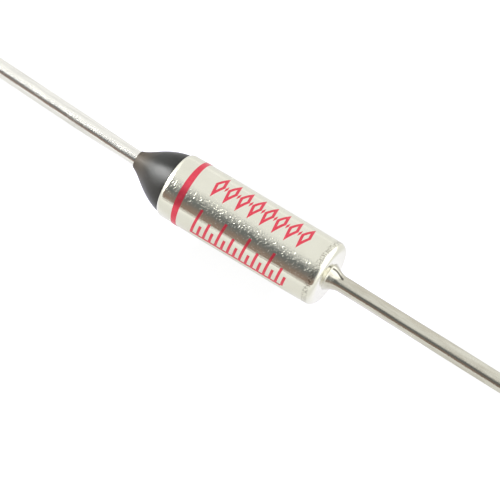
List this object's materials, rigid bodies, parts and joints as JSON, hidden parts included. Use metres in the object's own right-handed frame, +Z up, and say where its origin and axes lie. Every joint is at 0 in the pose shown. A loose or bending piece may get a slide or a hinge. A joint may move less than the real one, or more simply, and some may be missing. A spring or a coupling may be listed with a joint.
{
  "type": "thermal fuse",
  "caption": "One-shot thermal fuse: drawn metal case with an axial wire at each end, a resin cone over the open end, and a spring-loaded contact held by an organic pellet inside.",
  "frame": {"origin": "on the surface the fuse rests on, under the middle of its case", "axes": "+X along the case from the insulated wire to the closed end, +Z up, +Y to the left of +X"},
  "size_m": [0.0808, 0.0048, 0.004],
  "materials": {
    "plated_case": "polished",
    "tinned_isolated_wire": "satin",
    "tinned_case_wire": "satin",
    "dark_resin": "satin",
    "white_ceramic": "matte",
    "silvered_contact": "polished",
    "disc_steel": "satin",
    "main_spring_steel": "satin",
    "trip_spring_steel": "satin",
    "organic_pellet": "matte"
  },
  "bodies": {
    "case_body": {"case": "plated_case", "case_lead": "tinned_case_wire", "isolated_lead": "tinned_isolated_wire", "resin_seal": "dark_resin", "bushing": "white_ceramic", "pellet": "organic_pellet", "trip_spring": "trip_spring_steel"},
    "contact": {"star_contact": "silvered_contact", "contact_disc": "disc_steel", "main_spring": "main_spring_steel"},
    "plate": {"pellet_disc": "disc_steel"}
  },
  "joints": [
    {"name": "contact_slide", "type": "slide", "parent": "case_body", "child": "contact", "axis": [1, 0, 0], "range_m": [0, 0.0009], "deforming": ["trip_spring"]},
    {"name": "plate_slide", "type": "slide", "parent": "contact", "child": "plate", "axis": [1, 0, 0], "range_m": [0, 0.001], "deforming": ["main_spring", "pellet"]}
  ],
  "couplings": [
    {"joint": "plate_slide", "follows": "contact_slide", "ratio": 1.1111}
  ]
}
